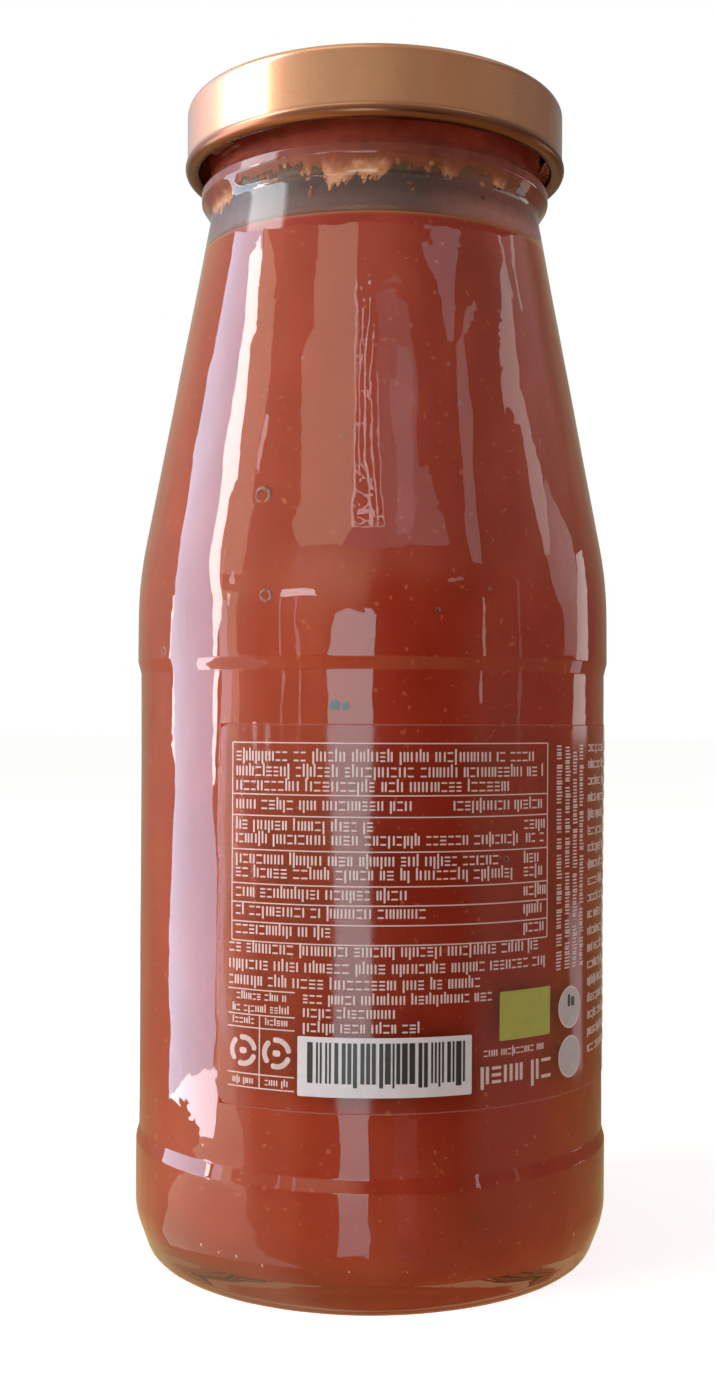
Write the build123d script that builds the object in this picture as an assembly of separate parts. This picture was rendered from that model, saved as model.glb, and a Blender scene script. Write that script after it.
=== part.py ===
from build123d import *

import math
import os

# Tomato passata in a tall glass bottle with a twist-off metal lid and a clear printed film label.
#
# Frame: millimetres, +Z up, origin at the centre of the circle that the bottle stands on.
# The side of the bottle that faces -Y is the one with the table of figures on its label.
# Every piece is turned about the Z axis, so outlines are drawn as (radius, height).

# ---- Driving dimensions, in millimetres and degrees ----

# Glass body
body_diameter = 70.2
heel_height = 6.5
heel_setback = 2.4
heel_foot_rounding = 3.0
heel_top_rounding = 10.0
bearing_ring_width = 2.8
push_up_height = 1.8
base_thickness = 2.4
body_wall = 3.15
inner_heel_rounding = 8.0

# Label panel, set back between two rounded steps
lower_step_height = 18.0
panel_height = 68.0
panel_recess = 0.45
step_rise = 1.8
step_rounding = 1.0

# Shoulder and taper
shoulder_rise = 12.5
shoulder_rounding = 59.0
taper_height = 54.5

# Neck, carrying bead and lugged finish, all set out from the finish's own diameter
finish_diameter = 49.8
finish_height = 16.2
finish_wall = 3.0
neck_undercut = 0.25
neck_rounding = 1.6
inner_neck_rounding = 14.0
bead_projection = 1.2
bead_rise = 2.9
bead_band = 1.4
bead_slope = 1.3
bead_rounding = 0.7
lip_rounding = 0.9

# Glass threads: short ridges that the lid's lugs catch under
thread_count = 4
thread_angle = 62.0
thread_projection = 1.0
thread_band = 1.6
thread_slope = 1.2
thread_drop = 6.0

# Contents
headspace_height = 20.7
contents_gap = 0.02

# Lid
sheet_thickness = 0.3
lid_clearance = 1.85
lid_corner_rounding = 1.6
lid_panel_inset = 2.3
lid_panel_depth = 0.8
lid_panel_slope = 0.9
lid_panel_rounding = 0.5
button_radius = 9.0
button_depth = 0.35
button_slope = 1.6
button_rounding = 1.5
curl_radius = 1.1
curl_projection = 0.3
lid_skirt = 9.2
lug_angle = 13.0
lug_reach = 0.85
lug_height = 1.5
lug_play = 0.12

# Label film
film_thickness = 0.12
label_margin_below = 9.3
label_margin_above = 8.0
label_start_angle = -36.0
label_wrap_angle = 300.0
label_corner_rounding = 1.5

# ---- Sizes that follow from them ----

body_radius = body_diameter / 2
panel_radius = body_radius - panel_recess
upper_step_height = lower_step_height + panel_height
shoulder_height = upper_step_height + shoulder_rise
neck_height = shoulder_height + taper_height
lip_height = neck_height + finish_height
fill_height = lip_height - headspace_height
floor_height = push_up_height + base_thickness
inner_radius = body_radius - body_wall

finish_radius = finish_diameter / 2
neck_radius = finish_radius - neck_undercut
bore_radius = finish_radius - finish_wall
bead_radius = finish_radius + bead_projection
bead_height = neck_height + bead_rise
thread_radius = finish_radius + thread_projection
thread_top = lip_height - thread_drop
thread_bottom = thread_top - thread_band

lid_wall_radius = thread_radius + lid_clearance + sheet_thickness
lid_top_height = lip_height + sheet_thickness
lid_panel_radius = bore_radius - lid_panel_inset
curl_height = lid_top_height - lid_skirt
curl_centre_radius = lid_wall_radius + curl_projection - curl_radius
skirt_foot = curl_height + math.sqrt(
    (curl_radius - sheet_thickness / 2) ** 2
    - (curl_radius - curl_projection - sheet_thickness / 2) ** 2
)
lug_top = thread_bottom - lug_play
lug_tip_radius = thread_radius - lug_reach

label_bottom = lower_step_height + label_margin_below
label_top = upper_step_height - label_margin_above

FRONT_DIRECTION = -90.0  # the angle of -Y in the XY plane, from which the label's angles are counted


def turned(outline, angle=360.0, start=0.0):
    """The solid that a closed outline in (radius, height) makes as it turns about Z."""
    profile = make_face(Plane.XZ * outline)
    return Rot(0, 0, start) * revolve(profile, axis=Axis.Z, revolution_arc=angle)


def closed(*points):
    """A closed outline of straight sides through these (radius, height) points."""
    return Polyline(*points, close=True)


def outer_corners():
    """Corners of the glass's outside, from the ring it stands on up to the lip, with their roundings."""
    half_step = step_rise / 2
    return [
        ((body_radius - heel_setback, 0), heel_foot_rounding),
        ((body_radius, heel_height), heel_top_rounding),
        ((body_radius, lower_step_height - half_step), step_rounding),
        ((panel_radius, lower_step_height + half_step), step_rounding),
        ((panel_radius, upper_step_height - half_step), step_rounding),
        ((body_radius, upper_step_height + half_step), step_rounding),
        ((body_radius, shoulder_height), shoulder_rounding),
        ((neck_radius, neck_height), neck_rounding),
        ((bead_radius, bead_height - bead_band / 2), bead_rounding),
        ((bead_radius, bead_height + bead_band / 2), bead_rounding),
        ((finish_radius, bead_height + bead_band / 2 + bead_slope), bead_rounding),
        ((finish_radius, lip_height), lip_rounding),
    ]


def inner_corners(gap=0.0):
    """Corners of the glass's inside, from its floor up to the bore, drawn in by a gap for what fills it."""
    return [
        ((inner_radius - gap, floor_height + gap), inner_heel_rounding),
        ((inner_radius - gap, shoulder_height), shoulder_rounding - body_wall),
        ((bore_radius - gap, neck_height), inner_neck_rounding),
    ]


def rounded_path(start, corners, end):
    """A path from start to end, rounded at each corner by its own radius."""
    points = [start] + [point for point, _ in corners] + [end]
    return FilletPolyline(*points, radius=[radius for _, radius in corners])


def glass_bottle():
    """The whole glass: body, shoulder, neck, bead, finish and threads, hollow and open at the top."""
    outside = rounded_path((0, 0), outer_corners(), (0, lip_height))
    bottle = turned(outside + Line((0, lip_height), (0, 0))) - hollow() - push_up()
    mouth_edges = bottle.edges().filter_by(GeomType.CIRCLE).group_by(Axis.Z)[-1]
    bottle = fillet(mouth_edges.sort_by(SortBy.RADIUS)[0], lip_rounding)
    for ridge in threads():
        bottle = bottle + ridge
    return bottle


def hollow(gap=0.0):
    """The space inside the glass, from its floor to its mouth, drawn in by a gap for what fills it."""
    floor = floor_height + gap
    bore = bore_radius - gap
    side = rounded_path((0, floor), inner_corners(gap), (bore, lip_height))
    return turned(side + Polyline((bore, lip_height), (0, lip_height), (0, floor)))


def push_up():
    """The shallow dome under the base, inside the ring that the bottle stands on."""
    rim_radius = body_radius - heel_setback - heel_foot_rounding - bearing_ring_width
    dome_radius = (rim_radius**2 + push_up_height**2) / (2 * push_up_height)
    dome = Pos(0, 0, push_up_height - dome_radius) * Sphere(dome_radius)
    return dome & Pos(0, 0, push_up_height / 2) * Cylinder(body_radius, push_up_height)


def threads():
    """The glass ridges around the finish, evenly spaced, each reaching back into the wall."""
    root = finish_radius - finish_wall / 2
    ridges = []
    for number in range(thread_count):
        start = 360.0 / thread_count * number
        outline = closed(
            (root, thread_bottom),
            (thread_radius, thread_bottom),
            (thread_radius, thread_top),
            (root, thread_top + thread_slope),
        )
        ridges.append(turned(outline, thread_angle, start))
    return ridges


def passata():
    """The contents, up to their level in the neck, a hair's breadth inside the glass."""
    above_level = Pos(0, 0, fill_height + lip_height / 2) * Cylinder(body_diameter, lip_height)
    return hollow(contents_gap) - above_level


def sheet_corners(drop=0.0):
    """Corners of the lid's upper surface, from button to edge, dropped by a sheet for its underside."""
    button = lid_top_height - lid_panel_depth - button_depth - drop
    panel = lid_top_height - lid_panel_depth - drop
    top = lid_top_height - drop
    return [
        ((button_radius, button), button_rounding),
        ((button_radius + button_slope, panel), button_rounding),
        ((lid_panel_radius, panel), lid_panel_rounding),
        ((lid_panel_radius + lid_panel_slope, top), lid_panel_rounding),
        ((lid_wall_radius - drop, top), lid_corner_rounding - drop),
    ]


def lid_sheet():
    """The pressed sheet: sunk panel with its button, raised rim over the lip, and the skirt."""
    upper_centre = (0, lid_top_height - lid_panel_depth - button_depth)
    under_centre = (0, upper_centre[1] - sheet_thickness)
    outer_foot = (lid_wall_radius, skirt_foot)
    inner_foot = (lid_wall_radius - sheet_thickness, skirt_foot)
    upper = rounded_path(upper_centre, sheet_corners(), outer_foot)
    under = rounded_path(under_centre, sheet_corners(sheet_thickness), inner_foot)
    ends = Line(outer_foot, inner_foot) + Line(under_centre, upper_centre)
    return turned(upper + under + ends)


def lid_curl():
    """The rolled edge at the foot of the skirt, open on its inner upper side."""
    roll = Circle(curl_radius) - Circle(curl_radius - sheet_thickness)
    inside_skirt = curl_radius - curl_projection - sheet_thickness
    opening = Pos((inside_skirt - curl_radius) / 2, curl_radius / 2) * Rectangle(
        curl_radius + inside_skirt, curl_radius
    )
    outline = Pos(curl_centre_radius, curl_height) * (roll - opening)
    return revolve(Plane.XZ * outline, axis=Axis.Z)


def lid_lugs():
    """The tabs pressed in from the curl, one under each glass thread."""
    root_radius = curl_centre_radius - curl_radius + sheet_thickness
    outline = closed(
        (lug_tip_radius, lug_top),
        (lug_tip_radius, lug_top - lug_height),
        (root_radius, lug_top - lug_height),
        (root_radius, lug_top),
    )
    lugs = []
    for number in range(thread_count):
        middle = 360.0 / thread_count * number + thread_angle / 2
        lugs.append(turned(outline, lug_angle, middle - lug_angle / 2))
    return lugs


def lid():
    """The twist-off lid: sheet, curl and lugs in one piece."""
    whole = lid_sheet() + lid_curl()
    for lug in lid_lugs():
        whole = whole + lug
    return whole


def label():
    """The clear film around the panel, with rounded corners at both ends."""
    outline = closed(
        (panel_radius, label_bottom),
        (panel_radius + film_thickness, label_bottom),
        (panel_radius + film_thickness, label_top),
        (panel_radius, label_top),
    )
    film = turned(outline, label_wrap_angle, FRONT_DIRECTION + label_start_angle)
    corners = film.edges().filter_by(GeomType.LINE).filter_by(
        lambda edge: abs(edge.length - film_thickness) < film_thickness / 10
    )
    return fillet(corners, label_corner_rounding)


os.makedirs("parts", exist_ok=True)
for name, make in {
    "bottle": glass_bottle,
    "passata": passata,
    "lid": lid,
    "label": label,
}.items():
    export_step(make(), f"parts/{name}.step")
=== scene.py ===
# %% [markdown]
# # A bottle of passata
# A clear glass bottle, the thick tomato passata in it, a copper-coloured twist-off lid and a clear label
# film with pale print. The CAD model gives the places and sizes; this lesson gives each surface its look.
# The CAD parts come in first, as a frame that stays where it is, and every new piece is laid on or in
# that frame.

import math
import random

import bpy
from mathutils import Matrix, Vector, noise


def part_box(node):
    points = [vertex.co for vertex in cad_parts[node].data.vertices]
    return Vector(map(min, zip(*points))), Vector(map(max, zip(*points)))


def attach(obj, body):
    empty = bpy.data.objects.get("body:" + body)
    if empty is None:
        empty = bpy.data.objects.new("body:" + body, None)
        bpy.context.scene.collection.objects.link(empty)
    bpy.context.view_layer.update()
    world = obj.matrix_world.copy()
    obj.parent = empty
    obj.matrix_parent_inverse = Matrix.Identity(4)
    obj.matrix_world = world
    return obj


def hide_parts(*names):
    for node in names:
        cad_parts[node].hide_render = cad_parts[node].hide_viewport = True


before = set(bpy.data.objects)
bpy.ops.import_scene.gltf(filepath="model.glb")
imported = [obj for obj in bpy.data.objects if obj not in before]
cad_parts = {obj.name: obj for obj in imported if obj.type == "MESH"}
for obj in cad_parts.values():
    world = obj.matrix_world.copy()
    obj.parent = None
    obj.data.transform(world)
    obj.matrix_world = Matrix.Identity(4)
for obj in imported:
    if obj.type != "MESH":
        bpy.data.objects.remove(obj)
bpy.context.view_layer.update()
MM = 0.001
print("parts in the frame:", sorted(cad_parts))

# %% [markdown]
# ## Where things are
# Everything but the print is turned about one upright axis, so places on the bottle are easiest as a
# radius, an angle and a height. The angle is counted in degrees from the front, which faces -Y, to the
# right. One small function turns such a place into Blender's metres, and the boxes of the CAD parts give
# the main sizes.

# %% Places on a round thing
def at(radius, angle, height):
    """The point at this radius and height in millimetres, this many degrees right of the front."""
    turn = math.radians(angle)
    return Vector((radius * math.sin(turn), -radius * math.cos(turn), height)) * MM


def angle_of(place):
    """How many degrees right of the front a place is."""
    return math.degrees(math.atan2(place.x, -place.y))


def box_mm(node):
    """The lowest and highest corners of a CAD part, in millimetres."""
    low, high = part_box(node)
    return low / MM, high / MM


def into_scene(name, data):
    """An object made from this data, put into the scene."""
    thing = bpy.data.objects.new(name, data)
    bpy.context.scene.collection.objects.link(thing)
    return thing


body_radius = box_mm("bottle")[1].x
lip_height = box_mm("bottle")[1].z
fill_height = box_mm("passata")[1].z
film_low, film_high = box_mm("label")[0].z, box_mm("label")[1].z
print(f"body {2 * body_radius:.1f} mm across, lip at {lip_height:.1f} mm, filled to {fill_height:.1f} mm")

# %% [markdown]
# ## The camera
# The camera looks level at the bottle from close by, at about the middle of its height. Being close, it
# sees the lid from below and the foot from above. A level camera with a small shift keeps the upright
# lines upright. The bottle leans a hair to the right in the view, so the camera is rolled by as much.

# %% Set up the camera
camera_distance = 246
camera_height = 79
camera_roll = -0.28

camera_data = bpy.data.cameras.new("camera")
camera_data.lens = 42.35
camera_data.shift_x = -0.0106
camera_data.shift_y = 0.0165
camera_data.clip_start = 0.01
camera = into_scene("camera", camera_data)
camera.location = at(camera_distance, 0, camera_height)
camera.rotation_euler = (math.radians(90), math.radians(camera_roll), 0)
bpy.context.scene.camera = camera
bpy.context.scene.view_settings.view_transform = "Standard"
print("camera at", [round(c, 3) for c in camera.location])

# %% [markdown]
# ## Turning an outline into a skin
# A glass maker's drawing of a bottle is one outline: straight runs, with a rounding at each corner. The
# Screw modifier could turn it, but glass shows every flat in its reflections, so the outline is filled in
# finely here and turned by code, which also lets each point be moved a little afterwards.

# %% Outline with rounded corners
def rounded(corners, step):
    """Points no more than step mm apart on the runs and arcs between (radius, height, rounding) corners."""
    path = [Vector(corners[0][:2])]
    for before, corner, after in zip(corners, corners[1:], corners[2:]):
        point, rounding = Vector(corner[:2]), corner[2]
        back = (Vector(before[:2]) - point).normalized()
        onward = (Vector(after[:2]) - point).normalized()
        if rounding == 0:
            path.append(point)
            continue
        half = back.angle(onward) / 2
        centre = point + (back + onward).normalized() * rounding / math.sin(half)
        spoke = point + back * rounding / math.tan(half) - centre
        sweep = (math.pi - 2 * half) * (1 if back.cross(onward) < 0 else -1)
        pieces = max(5, math.ceil(abs(sweep) * rounding / step))
        for number in range(pieces + 1):
            turn = sweep * number / pieces
            cos, sin = math.cos(turn), math.sin(turn)
            path.append(centre + Vector((spoke.x * cos - spoke.y * sin, spoke.x * sin + spoke.y * cos)))
    path.append(Vector(corners[-1][:2]))
    filled = [path[0]]
    for start, end in zip(path, path[1:]):
        pieces = max(1, math.ceil((end - start).length / step))
        filled += [start.lerp(end, number / pieces) for number in range(1, pieces + 1)]
    return filled


# %% Turn the outline
def turned(name, outline, segments, shift=None):
    """A closed mesh: an outline that starts and ends on the axis, turned; shift moves points in or out."""
    points, faces = [], []
    for radius, height in outline[1:-1]:
        for number in range(segments):
            angle = 360 * number / segments
            move = shift(radius, angle, height) if shift else 0
            points.append(at(radius + move, angle, height))
    rings = len(outline) - 2
    first_pole, last_pole = len(points), len(points) + 1
    points += [at(0, 0, outline[0][1]), at(0, 0, outline[-1][1])]
    for number in range(segments):
        after = (number + 1) % segments
        for ring in range(rings - 1):
            low, high = ring * segments, (ring + 1) * segments
            faces.append((low + number, low + after, high + after, high + number))
        top = (rings - 1) * segments
        faces.append((first_pole, after, number))
        faces.append((last_pole, top + number, top + after))
    return make_piece(name, points, faces)


def make_piece(name, points, faces):
    """A smooth mesh object that belongs to the bottle."""
    mesh = bpy.data.meshes.new(name)
    mesh.from_pydata(points, [], faces)
    mesh.shade_smooth()
    piece = into_scene(name, mesh)
    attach(piece, "root")
    print(f"{name}: {len(faces)} faces")
    return piece


# %% [markdown]
# ## The glass
# The glass is one skin that goes under the foot, up the outside, over the lip and down the inside. The
# label panel is set back between two rounded steps, and the neck carries a bead. Blown glass is never
# quite even: slow waves from the mould bend every reflection. They are made as real relief here, because
# a bump map would leave the outline of the reflections too straight at the edges and would be lost on the
# exported mesh.

# %% The outline of the glass
panel_recess, wall_thickness, foot_inset = 0.45, 3.15, 2.4
outline_step = 1.2
panel_radius = body_radius - panel_recess
inner_radius = body_radius - wall_thickness
neck_radius = 24.65
finish_radius = 24.9
bead_radius = 26.1
bore_radius = 21.9
foot_radius = body_radius - foot_inset
dome_radius = 26.9
dome_height = 1.8
floor_height = box_mm("passata")[0].z
lower_step, upper_step, half_step = 18.0, 86.0, 0.9
shoulder_height = 98.5
neck_height = 153.0
print(f"walls {wall_thickness} mm thick, label panel set back {panel_recess} mm")

# %% Corners from the push-up to the lip
# Each corner is a radius, a height and a rounding.
dome = [(dome_radius * share, dome_height * (1 - share**2), 0) for share in (0, 0.25, 0.5, 0.75, 0.9, 1)]
outside = [
    (foot_radius, 0, 3),
    (body_radius, 6.5, 10),
    (body_radius, lower_step - half_step, 1),
    (panel_radius, lower_step + half_step, 1),
    (panel_radius, film_low, 0),
    (panel_radius, film_high, 0),
    (panel_radius, upper_step - half_step, 1),
    (body_radius, upper_step + half_step, 1),
    (body_radius, shoulder_height, 59),
    (neck_radius, neck_height, 1.6),
    (bead_radius, 155.2, 0.7),
    (bead_radius, 156.6, 0.7),
    (finish_radius, 157.9, 0.7),
    (finish_radius, lip_height, 0.9),
]


# %% Inside corners and the whole outline
def inside(reach=0):
    """Corners of the glass's inside, from the mouth down, set further into the wall by reach."""
    return [
        (bore_radius + reach, neck_height, 14),
        (inner_radius + reach, shoulder_height, 56),
        (inner_radius + reach, floor_height - reach, 8),
    ]


lip, floor_middle = (bore_radius, lip_height, 0.9), (0, floor_height, 0)
glass_outline = rounded(dome + outside + [lip] + inside() + [floor_middle], outline_step)
print(len(glass_outline), "rings of glass")

# %% [markdown]
# The waves are noise with upright spots, added up from three sizes: a broad sag, streaks and small dents.
# The four thread ridges that hold the lid are raised in the same step, since both only move points in or
# out.

# %% Waves and threads
thread_top, thread_bottom, thread_slope = lip_height - 6.0, lip_height - 7.6, 1.2
thread_pitch, thread_angle = 90, 62
glass_segments = 240
# Each kind of wave: its depth, its width, its height and an offset that keeps the kinds apart.
wave_kinds = [(0.15, 6, 20, 0), (0.06, 3, 8, 40), (0.16, 20, 34, 80)]


def wave(radius, angle, height):
    """How far the mould's waves draw the glass in at this place, in millimetres."""
    place = at(radius, angle, height) / MM
    depth = 0
    for most, across, upright, offset in wave_kinds:
        spot = Vector((place.x / across, place.y / across, place.z / upright + offset))
        depth += most * (0.5 + 0.5 * noise.noise(spot))
    return -depth


def thread(radius, angle, height):
    """How far one of the four thread ridges stands out of the finish here."""
    highest = thread_top + thread_slope
    on_finish = radius >= finish_radius - 1 and thread_bottom < height < highest
    if not on_finish or angle % thread_pitch > thread_angle:
        return 0
    return min(1, (highest - height) / thread_slope)


glass = turned("glass_wall", glass_outline, glass_segments, lambda *place: wave(*place) + thread(*place))
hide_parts("bottle")

# %% [markdown]
# ## Surface finishes as nodes
# Every finish is a small net of nodes. A few helpers keep the cells below short: they start a material,
# add a node, make noise of a given size in the object's own millimetres, stretch a value to another
# range, turn a value into a colour and blend two colours or two shaders.

# %% Node helpers
def new_finish(name):
    """A material with an empty net and its output node."""
    finish = bpy.data.materials.new(name)
    finish.use_nodes = True
    finish.node_tree.nodes.clear()
    return finish, finish.node_tree.nodes.new("ShaderNodeOutputMaterial")


def add(finish, kind, **values):
    """A node of this kind, with values given by socket name; another node's output is linked."""
    node = finish.node_tree.nodes.new("ShaderNode" + kind)
    for key, value in values.items():
        socket = node.inputs[key.replace("_", " ")] if key.replace("_", " ") in node.inputs else None
        if socket is None:
            setattr(node, key, value)
        elif isinstance(value, bpy.types.NodeSocket):
            finish.node_tree.links.new(value, socket)
        else:
            socket.default_value = value
    return node


def join(finish, output, node_input):
    """Link two sockets."""
    finish.node_tree.links.new(output, node_input)


def grain(finish, size, stretch=(1, 1, 1), detail=3):
    """Noise from 0 to 1 whose spots are about size mm across, pulled out along an axis by stretch."""
    place = add(finish, "TexCoord").outputs["Object"]
    scaled = add(finish, "Mapping", Vector=place)
    scaled.inputs["Scale"].default_value = [1 / (size * MM * pull) for pull in stretch]
    return add(finish, "TexNoise", Vector=scaled.outputs["Vector"], Scale=1.0, Detail=detail).outputs["Fac"]


def shades(finish, value, stops):
    """A colour from a value, by (place, colour) stops."""
    ramp = add(finish, "ValToRGB", Fac=value)
    while len(ramp.color_ramp.elements) < len(stops):
        ramp.color_ramp.elements.new(1)
    for stop, (place, colour) in zip(ramp.color_ramp.elements, stops):
        stop.position = place
        stop.color = (*colour, 1)
    return ramp.outputs["Color"]


# %% Values and colours as nodes
def mapped(finish, value, start, end, low=0.0, high=1.0):
    """A value whose range from start to end is stretched to the range from low to high."""
    node = add(finish, "MapRange", Value=value, From_Min=start, From_Max=end, To_Min=low, To_Max=high)
    return node.outputs[0]


def blended(finish, share, first, second):
    """A colour between two, each a socket or a plain colour: the first where share is 0."""
    mix = add(finish, "Mix", data_type="RGBA")
    join(finish, share, mix.inputs[0])
    for number, colour in ((6, first), (7, second)):
        if isinstance(colour, bpy.types.NodeSocket):
            join(finish, colour, mix.inputs[number])
        else:
            mix.inputs[number].default_value = (*colour, 1)
    return mix.outputs[2]


def height_of(finish):
    """The height of each spot, in metres."""
    return add(finish, "SeparateXYZ", Vector=add(finish, "TexCoord").outputs["Object"]).outputs["Z"]


def brightened(finish, colour, amount):
    """A colour made lighter or darker by a value."""
    scale = add(finish, "VectorMath", operation="SCALE")
    join(finish, colour, scale.inputs[0])
    join(finish, amount, scale.inputs["Scale"])
    return scale.outputs[0]


# %% Shaders and bumps as nodes
def mixed(finish, share, first, second):
    """A mix of two shaders: the first where share is 0."""
    mix = add(finish, "MixShader", Fac=share)
    join(finish, first, mix.inputs[1])
    join(finish, second, mix.inputs[2])
    return mix.outputs[0]


def relief(finish, value, depth, under=None):
    """A bump of depth mm from a value, on top of another bump when one is given."""
    bump = add(finish, "Bump", Height=value, Distance=depth * MM, Strength=1.0)
    if under is not None:
        join(finish, under, bump.inputs["Normal"])
    return bump.outputs["Normal"]


# %% [markdown]
# ## Clear glass
# Glass is a Glass BSDF. Rays that carry soft light to what is behind the glass would be lost in it, since
# Cycles can't aim at a lamp through a refracting wall. So shadow rays and diffuse rays see it as
# transparent, which lights the passata as through a real bottle. A fine ripple that is too small for the
# mesh is added as a bump.

# %% Clear glass
def let_light_through(finish, shader):
    """The shader for the eye, and plain transparency for shadow rays and diffuse rays."""
    path = add(finish, "LightPath")
    clear = add(finish, "BsdfTransparent")
    for kind_of_ray in ("Is Shadow Ray", "Is Diffuse Ray"):
        shader = mixed(finish, path.outputs[kind_of_ray], shader, clear.outputs[0])
    return shader


def ripple(finish):
    """The skin of blown glass: shallow dents a few millimetres wide and fine upright draw lines."""
    dents = relief(finish, grain(finish, 3.5, (1, 1, 1.3), 2), 0.028)
    return relief(finish, grain(finish, 1.3, (1, 1, 14), 1), 0.004, dents)


glass_tint = (0.97, 0.985, 0.975, 1)
for name, kind in (("clear_glass", "BsdfGlass"), ("glass_under_film", "BsdfRefraction")):
    glass_finish, output = new_finish(name)
    pane = add(glass_finish, kind, Color=glass_tint, Roughness=0.0, IOR=1.5)
    join(glass_finish, ripple(glass_finish), pane.inputs["Normal"])
    join(glass_finish, let_light_through(glass_finish, pane.outputs[0]), output.inputs["Surface"])
    glass.data.materials.append(glass_finish)
print("glass finishes:", [glass_finish.name for glass_finish in glass.data.materials])

# %% [markdown]
# ## Where the film lies
# The label is glued to the glass, so there is no bright glass surface under it: the film's own outside
# takes its place. The faces of glass under the film get the finish that only refracts.

# %% Glass under the film
film_start, film_end = -36, 264


def under_film(angle, height):
    """Whether this place on the outside of the glass is covered by the label."""
    return 0 < (angle - film_start) % 360 < film_end - film_start and film_low < height < film_high


covered = 0
for face in glass.data.polygons:
    middle = face.center / MM
    out = math.hypot(middle.x, middle.y)
    if out > panel_radius - 1 and under_film(angle_of(middle), middle.z):
        face.material_index = 1
        covered += 1
print(covered, "faces of glass lie under the film")

# %% [markdown]
# ## The passata
# Thick tomato sauce touches the glass all over, so no air gap may show between them. The sauce is turned
# like the glass, from the glass's inside outline, but reaches a little into the wall. At the top it ends
# in a nearly level surface that climbs slightly at the wall.

# %% Passata
reach_into_wall = 0.25


def cut_at(path, height):
    """The part of a falling outline that is below a height."""
    for number, (upper, lower) in enumerate(zip(path, path[1:])):
        if upper.y >= height > lower.y:
            share = (upper.y - height) / (upper.y - lower.y)
            return [upper.lerp(lower, share)] + path[number + 1 :]
    return path


wall_mouth = (bore_radius + reach_into_wall, lip_height)
wall_foot = (0, floor_height - reach_into_wall, 0)
wall_path = rounded([wall_mouth] + inside(reach_into_wall) + [wall_foot], outline_step)
side = cut_at(wall_path, fill_height)
edge_radius = side[0].x
print(f"the sauce's edge is {edge_radius:.2f} mm from the axis")

# %% The top of the passata and its piece
climb = 0.9
sauce_segments = 180
surface = [
    Vector((edge_radius * share, fill_height - climb * (1 - share**14)))
    for share in (0, 0.15, 0.3, 0.45, 0.6, 0.7, 0.8, 0.87, 0.92, 0.95, 0.975)
]

passata = turned("passata_fill", surface + side, sauce_segments)
for point in passata.data.vertices:
    place = point.co / MM
    out = math.hypot(place.x, place.y)
    if place.z > fill_height - 1 and out < edge_radius - 0.8:
        uneven = noise.noise(place / 4) + 0.5 * noise.noise(place / 1.6)
        point.co.z += 0.35 * MM * uneven - 0.1 * MM
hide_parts("passata")

# %% [markdown]
# The sauce's finish is matt red with a mottle. Small paler flecks of pulp show in it, and the thin edge
# at the top is lighter, because light gets through it.

# %% Finish of the passata
sauce, output = new_finish("passata")
flesh_colours = [(0.3, (0.34, 0.028, 0.012)), (0.55, (0.39, 0.037, 0.018)), (0.75, (0.45, 0.055, 0.027))]
flesh = shades(sauce, grain(sauce, 9, (1, 1, 1.6), 4), flesh_colours)
fleck = mapped(sauce, grain(sauce, 0.9, (1, 1, 1), 2), 0.66, 0.74)
flecked = blended(sauce, fleck, flesh, (0.5, 0.11, 0.05))
rim = mapped(sauce, height_of(sauce), (fill_height - 1.3) * MM, (fill_height - 0.5) * MM)
rimmed = blended(sauce, rim, flecked, (0.5, 0.23, 0.1))
body = add(sauce, "BsdfPrincipled", Roughness=0.85)
body.inputs["Specular IOR Level"].default_value = 0.0
join(sauce, rimmed, body.inputs["Base Color"])
join(sauce, relief(sauce, grain(sauce, 1.5, (1, 1, 1), 3), 0.05), body.inputs["Normal"])
join(sauce, body.outputs[0], output.inputs["Surface"])
passata.data.materials.append(sauce)

# %% [markdown]
# ## Dried sauce in the neck
# Shaking leaves a coat of sauce in the headspace. It is thick and whole under the lid and ends below in
# ragged lobes that have dried orange. The coat is a shell on the glass's inside: its lower edge is a
# curve of the angle, made from a few broad lobes with small teeth between them.

# %% The ragged edge of the coat
coat_top, coat_foot = lip_height - 1.2, 155.9
# Each lobe: the angle of its middle, half its width in degrees and how far it hangs down.
lobes = [
    (-12, 6.5, 4.5), (-1, 7, 3.9), (-24, 2.5, 1.6), (-40, 3, 1.8), (17, 4, 1.6), (27, 4, 2.4), (-70, 12, 4),
    (49, 4, 3.0), (110, 14, 2.4), (150, 9, 2.6), (185, 16, 2.2), (222, 10, 3), (255, 8, 2.6),
]


def round_noise(angle, fineness, start):
    """Noise from -1 to 1 round the neck; a higher fineness gives narrower bumps."""
    turn = math.radians(angle)
    return noise.noise(Vector((math.cos(turn) * fineness, math.sin(turn) * fineness, start)))


def lobe_depth(angle):
    """How far the broad lobes hang down at an angle."""
    depth = 0
    for middle, width, length in lobes:
        away = (angle - middle + 180) % 360 - 180
        depth = max(depth, length * math.exp(-((away / width) ** 4)))
    return depth


def coat_edge(angle):
    """The height of the coat's ragged lower edge at an angle."""
    ragged = 0.9 * round_noise(angle, 7, 3) + 0.8 * round_noise(angle, 20, 8)
    ragged += 0.35 * round_noise(angle, 55, 5)
    return coat_foot - lobe_depth(angle) * (1 + 0.35 * round_noise(angle, 40, 1)) + ragged


# %% A shell on the inside of the glass
def wall_radius(path, height):
    """The radius of a falling outline at a height."""
    for upper, lower in zip(path, path[1:]):
        if upper.y >= height >= lower.y and upper.y > lower.y:
            return upper.lerp(lower, (upper.y - height) / (upper.y - lower.y)).x
    return path[0].x


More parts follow.
